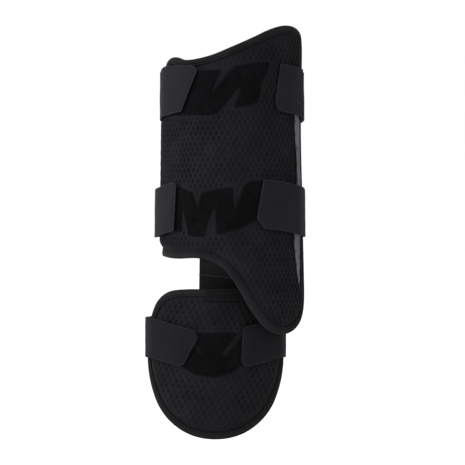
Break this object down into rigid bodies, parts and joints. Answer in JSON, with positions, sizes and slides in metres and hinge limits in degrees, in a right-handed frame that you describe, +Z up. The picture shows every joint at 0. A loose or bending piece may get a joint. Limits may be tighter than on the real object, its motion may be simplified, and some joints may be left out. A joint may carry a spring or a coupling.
{
  "type": "batter leg guard",
  "caption": "Padded mesh shin guard with an oval foot pad hung below it, fabric binding, loop patches and wrap-round elastic straps.",
  "frame": {"origin": "middle of the leg hollow, on the axis of the leg, halfway between the two shin straps", "axes": "+Z up along the leg; the front of the guard faces -Y; +X is to the right of someone who faces the guard"},
  "size_m": [0.1669, 0.1433, 0.4186],
  "materials": {
    "mesh_padding": "black open air mesh over foam, matte, small staggered dimples",
    "binding": "smooth black stretch binding, slight sheen, stitched along its inner edge",
    "ribbed_elastic": "dark grey elastic with fine crosswise ribs",
    "loop_pile": "brushed black loop pile, very matte",
    "hook": "black hook tape",
    "strap": "black brushed elastic webbing with bonded, stitched tabs",
    "connector": "black woven elastic, matte"
  },
  "bodies": {
    "root": {"shin_pad": "mesh_padding", "foot_pad": "mesh_padding", "shin_binding": "binding", "foot_binding": "binding", "side_strip": "ribbed_elastic", "loop_patch_upper": "loop_pile", "loop_patch_lower": "loop_pile", "loop_patch_foot": "loop_pile", "hook_upper_right": "hook", "hook_upper_left": "hook", "hook_middle_right": "hook", "hook_middle_left": "hook", "hook_foot_right": "hook", "hook_foot_left": "hook", "strap_upper": "strap", "strap_middle": "strap", "strap_foot": "strap", "connector": "connector", "connector_anchor": "connector"}
  },
  "joints": []
}
